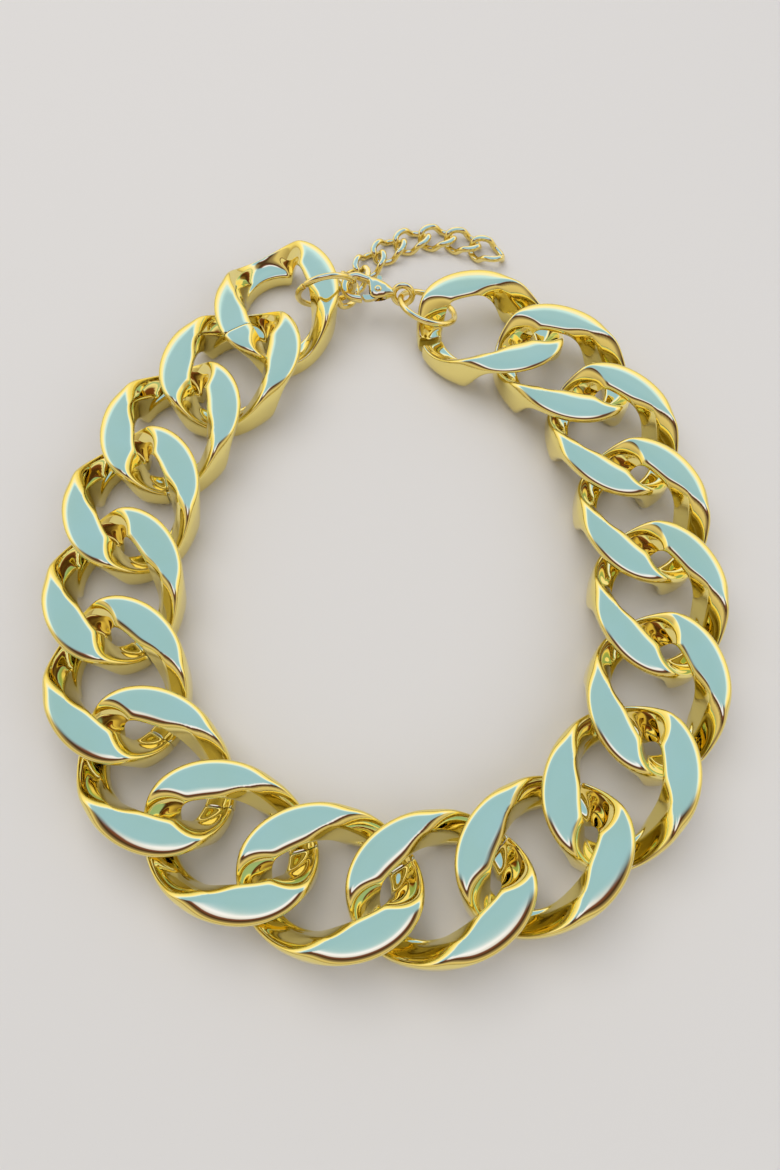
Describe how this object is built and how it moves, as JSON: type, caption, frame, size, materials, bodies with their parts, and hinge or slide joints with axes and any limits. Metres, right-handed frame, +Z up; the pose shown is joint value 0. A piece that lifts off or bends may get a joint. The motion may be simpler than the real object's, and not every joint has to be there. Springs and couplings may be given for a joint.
{
  "type": "chain necklace",
  "caption": "Chunky twisted curb chain necklace, closed in a loop by jump rings and a sprung lobster clasp, with a fine curb extender chain hanging from one ring.",
  "frame": {"origin": "centre of the bottom of the bounding box of the closed necklace lying flat", "axes": "+Z up from the surface it lies on, +Y from the front of the loop to the clasp, +X to the side of the last link"},
  "size_m": [0.1312, 0.1654, 0.0162],
  "materials": {
    "mirror_gold_link": "mirror polished gold plate",
    "gold_plated_wire": "polished gold plate",
    "gold_spring_strip": "satin spring strip"
  },
  "bodies": {
    "link_01": {"curb_link_01": "mirror_gold_link"},
    "link_02": {"curb_link_02": "mirror_gold_link"},
    "link_03": {"curb_link_03": "mirror_gold_link"},
    "link_04": {"curb_link_04": "mirror_gold_link"},
    "link_05": {"curb_link_05": "mirror_gold_link"},
    "link_06": {"curb_link_06": "mirror_gold_link"},
    "link_07": {"curb_link_07": "mirror_gold_link"},
    "link_08": {"curb_link_08": "mirror_gold_link"},
    "link_09": {"curb_link_09": "mirror_gold_link"},
    "link_10": {"curb_link_10": "mirror_gold_link"},
    "link_11": {"curb_link_11": "mirror_gold_link"},
    "link_12": {"curb_link_12": "mirror_gold_link"},
    "link_13": {"curb_link_13": "mirror_gold_link"},
    "link_14": {"curb_link_14": "mirror_gold_link"},
    "link_15": {"curb_link_15": "mirror_gold_link"},
    "link_16": {"curb_link_16": "mirror_gold_link"},
    "link_17": {"curb_link_17": "mirror_gold_link"},
    "link_18": {"curb_link_18": "mirror_gold_link"},
    "left_ring": {"jump_ring_left": "gold_plated_wire"},
    "right_ring": {"jump_ring_right": "gold_plated_wire"},
    "clasp": {"clasp_body": "gold_plated_wire", "clasp_rivet": "gold_plated_wire", "clasp_spring": "gold_spring_strip"},
    "lever": {"clasp_lever": "gold_plated_wire"},
    "extender_1": {"extender_link_1": "gold_plated_wire"},
    "extender_2": {"extender_link_2": "gold_plated_wire"},
    "extender_3": {"extender_link_3": "gold_plated_wire"},
    "extender_4": {"extender_link_4": "gold_plated_wire"},
    "extender_5": {"extender_link_5": "gold_plated_wire"},
    "extender_6": {"extender_link_6": "gold_plated_wire"},
    "extender_7": {"extender_link_7": "gold_plated_wire"},
    "extender_8": {"extender_link_8": "gold_plated_wire"}
  },
  "joints": [
    {"name": "link_08_swing", "type": "hinge", "parent": "link_09", "child": "link_08", "pos_m": [-0.01938, -0.06669, 0.0056], "axis": [-0.0964, -0.995, -0.0255], "range_deg": [-8, 8]},
    {"name": "link_07_swing", "type": "hinge", "parent": "link_08", "child": "link_07", "pos_m": [-0.03599, -0.05705, 0.0056], "axis": [0.241, 0.9701, 0.027], "range_deg": [-8, 8]},
    {"name": "link_06_swing", "type": "hinge", "parent": "link_07", "child": "link_06", "pos_m": [-0.04773, -0.04186, 0.0056], "axis": [-0.3734, -0.9272, -0.0297], "range_deg": [-8, 8]},
    {"name": "link_05_swing", "type": "hinge", "parent": "link_06", "child": "link_05", "pos_m": [-0.05255, -0.02328, 0.0056], "axis": [0.4836, 0.8746, 0.0343], "range_deg": [-8, 8]},
    {"name": "link_04_swing", "type": "hinge", "parent": "link_05", "child": "link_04", "pos_m": [-0.05236, -0.00408, 0.0056], "axis": [-0.5833, -0.8112, -0.0416], "range_deg": [-8, 8]},
    {"name": "link_03_swing", "type": "hinge", "parent": "link_04", "child": "link_03", "pos_m": [-0.04915, 0.01485, 0.0056], "axis": [0.6901, 0.7217, 0.053], "range_deg": [-8, 8]},
    {"name": "link_02_swing", "type": "hinge", "parent": "link_03", "child": "link_02", "pos_m": [-0.03962, 0.03151, 0.0056], "axis": [-0.7639, -0.6409, -0.0759], "range_deg": [-8, 8]},
    {"name": "link_01_swing", "type": "hinge", "parent": "link_02", "child": "link_01", "pos_m": [-0.02656, 0.04559, 0.0056], "axis": [0.82, 0.5559, 0.1365], "range_deg": [-8, 8]},
    {"name": "link_10_swing", "type": "hinge", "parent": "link_09", "child": "link_10", "pos_m": [-0.0006, -0.07068, 0.0056], "axis": [0.0512, -0.9984, -0.0248], "range_deg": [-8, 8]},
    {"name": "link_11_swing", "type": "hinge", "parent": "link_10", "child": "link_11", "pos_m": [0.01845, -0.0683, 0.0056], "axis": [-0.1982, 0.9798, 0.0248], "range_deg": [-8, 8]},
    {"name": "link_12_swing", "type": "hinge", "parent": "link_11", "child": "link_12", "pos_m": [0.03536, -0.0592, 0.0056], "axis": [0.3397, -0.9402, -0.0257], "range_deg": [-8, 8]},
    {"name": "link_13_swing", "type": "hinge", "parent": "link_12", "child": "link_13", "pos_m": [0.04732, -0.04418, 0.0056], "axis": [-0.4684, 0.8831, 0.0276], "range_deg": [-8, 8]},
    {"name": "link_14_swing", "type": "hinge", "parent": "link_13", "child": "link_14", "pos_m": [0.05241, -0.02567, 0.0056], "axis": [0.5771, -0.8161, -0.0311], "range_deg": [-8, 8]},
    {"name": "link_15_swing", "type": "hinge", "parent": "link_14", "child": "link_15", "pos_m": [0.0525, -0.00647, 0.0056], "axis": [-0.6754, 0.7366, 0.0364], "range_deg": [-8, 8]},
    {"name": "link_16_swing", "type": "hinge", "parent": "link_15", "child": "link_16", "pos_m": [0.05024, 0.0126, 0.0056], "axis": [0.7794, -0.625, -0.0436], "range_deg": [-8, 8]},
    {"name": "link_17_swing", "type": "hinge", "parent": "link_16", "child": "link_17", "pos_m": [0.04435, 0.03087, 0.0056], "axis": [-0.8789, 0.4739, 0.0548], "range_deg": [-8, 8]},
    {"name": "link_18_swing", "type": "hinge", "parent": "link_17", "child": "link_18", "pos_m": [0.03175, 0.04536, 0.0056], "axis": [0.9433, -0.3226, -0.0778], "range_deg": [-8, 8]},
    {"name": "left_ring_swing", "type": "hinge", "parent": "link_01", "child": "left_ring", "pos_m": [-0.01423, 0.05682, 0.0095], "axis": [0.9621, 0.256, -0.0935], "range_deg": [-12, 12]},
    {"name": "right_ring_swing", "type": "hinge", "parent": "link_18", "child": "right_ring", "pos_m": [0.01045, 0.05371, 0.00698], "axis": [-0.9578, 0.2697, 0.0997], "range_deg": [-12, 12]},
    {"name": "clasp_swing", "type": "hinge", "parent": "right_ring", "child": "clasp", "pos_m": [0.00368, 0.05751, 0.0077], "axis": [0.9891, -0.1069, -0.1008], "range_deg": [-10, 10]},
    {"name": "lever_press", "type": "hinge", "parent": "clasp", "child": "lever", "pos_m": [-0.00198, 0.05786, 0.00823], "axis": [-0.0788, 0.1933, -0.978], "range_deg": [0, 16], "stiffness_Nm_per_rad": 0.004, "springref_deg": -5.73},
    {"name": "extender_1_swing", "type": "hinge", "parent": "left_ring", "child": "extender_1", "pos_m": [-0.01011, 0.05908, 0.00435], "axis": [0, 0, 1], "range_deg": [-10, 10]},
    {"name": "extender_2_swing", "type": "hinge", "parent": "extender_1", "child": "extender_2", "pos_m": [-0.00882, 0.06391, 0.0026], "axis": [0, 0, -1], "range_deg": [-15, 15]},
    {"name": "extender_3_swing", "type": "hinge", "parent": "extender_2", "child": "extender_3", "pos_m": [-0.00575, 0.06921, 0.00166], "axis": [0, 0, 1], "range_deg": [-15, 15]},
    {"name": "extender_4_swing", "type": "hinge", "parent": "extender_3", "child": "extender_4", "pos_m": [-0.00177, 0.07396, 0.00165], "axis": [0, 0, -1], "range_deg": [-15, 15]},
    {"name": "extender_5_swing", "type": "hinge", "parent": "extender_4", "child": "extender_5", "pos_m": [0.00325, 0.07761, 0.00165], "axis": [0, 0, 1], "range_deg": [-15, 15]},
    {"name": "extender_6_swing", "type": "hinge", "parent": "extender_5", "child": "extender_6", "pos_m": [0.00914, 0.07952, 0.00165], "axis": [0, 0, -1], "range_deg": [-15, 15]},
    {"name": "extender_7_swing", "type": "hinge", "parent": "extender_6", "child": "extender_7", "pos_m": [0.01534, 0.0792, 0.00165], "axis": [0, 0, 1], "range_deg": [-15, 15]},
    {"name": "extender_8_swing", "type": "hinge", "parent": "extender_7", "child": "extender_8", "pos_m": [0.02116, 0.07708, 0.00165], "axis": [0, 0, -1], "range_deg": [-15, 15]}
  ]
}
